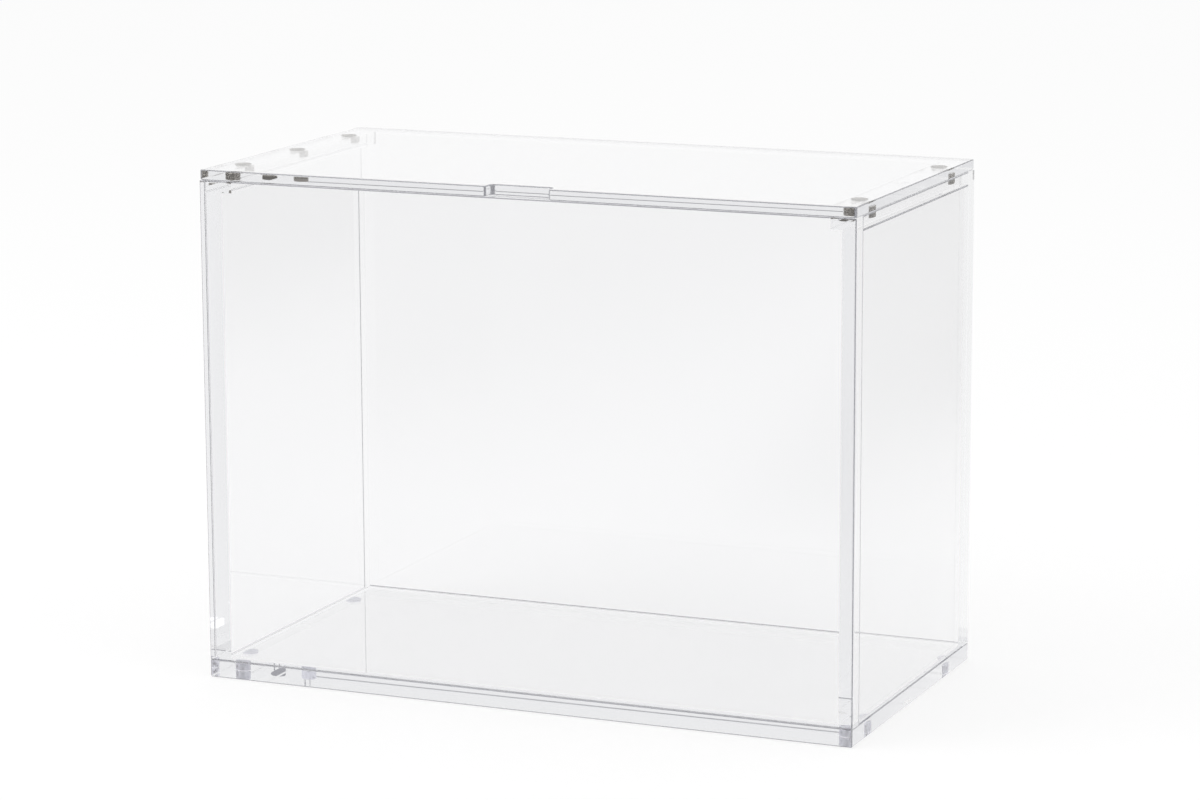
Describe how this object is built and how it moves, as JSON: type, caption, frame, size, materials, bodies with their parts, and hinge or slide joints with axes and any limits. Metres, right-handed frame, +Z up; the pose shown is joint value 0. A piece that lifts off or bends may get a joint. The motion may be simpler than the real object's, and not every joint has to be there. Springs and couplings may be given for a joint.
{
  "type": "display case",
  "caption": "Clear acrylic box case for showing a collectable, with a flat lift-off lid that small corner magnets hold down and a finger notch in the lid's front edge.",
  "frame": {"origin": "middle of the underside of the base", "axes": "+Z up, +X along the long side to the right, +Y to the back; the finger notch faces -Y"},
  "size_m": [0.21, 0.108, 0.158],
  "materials": {
    "acrylic_base": "clear polished acrylic",
    "acrylic_panel": "clear polished acrylic",
    "acrylic_wall": "clear polished acrylic",
    "acrylic_rail": "clear polished acrylic",
    "acrylic_lid": "clear polished acrylic",
    "nickel": "bright nickel plate"
  },
  "bodies": {
    "case": {"base_plate": "acrylic_base", "front_panel": "acrylic_panel", "back_panel": "acrylic_panel", "left_wall": "acrylic_wall", "right_wall": "acrylic_wall", "left_rail": "acrylic_rail", "right_rail": "acrylic_rail", "rail_magnet_front_left": "nickel", "rail_magnet_front_right": "nickel", "rail_magnet_back_left": "nickel", "rail_magnet_back_right": "nickel", "rail_magnet_middle_left": "nickel", "base_magnet_front_left": "nickel", "base_magnet_front_right": "nickel", "base_magnet_back_left": "nickel", "base_magnet_back_right": "nickel"},
    "lid": {"lid_plate": "acrylic_lid", "lid_magnet_front_left": "nickel", "lid_magnet_front_right": "nickel", "lid_magnet_back_left": "nickel", "lid_magnet_back_right": "nickel", "lid_magnet_middle_left": "nickel"}
  },
  "joints": [
    {"name": "lid_lift", "type": "slide", "parent": "case", "child": "lid", "axis": [0, 0, 1], "range_m": [0, 0.18]}
  ]
}
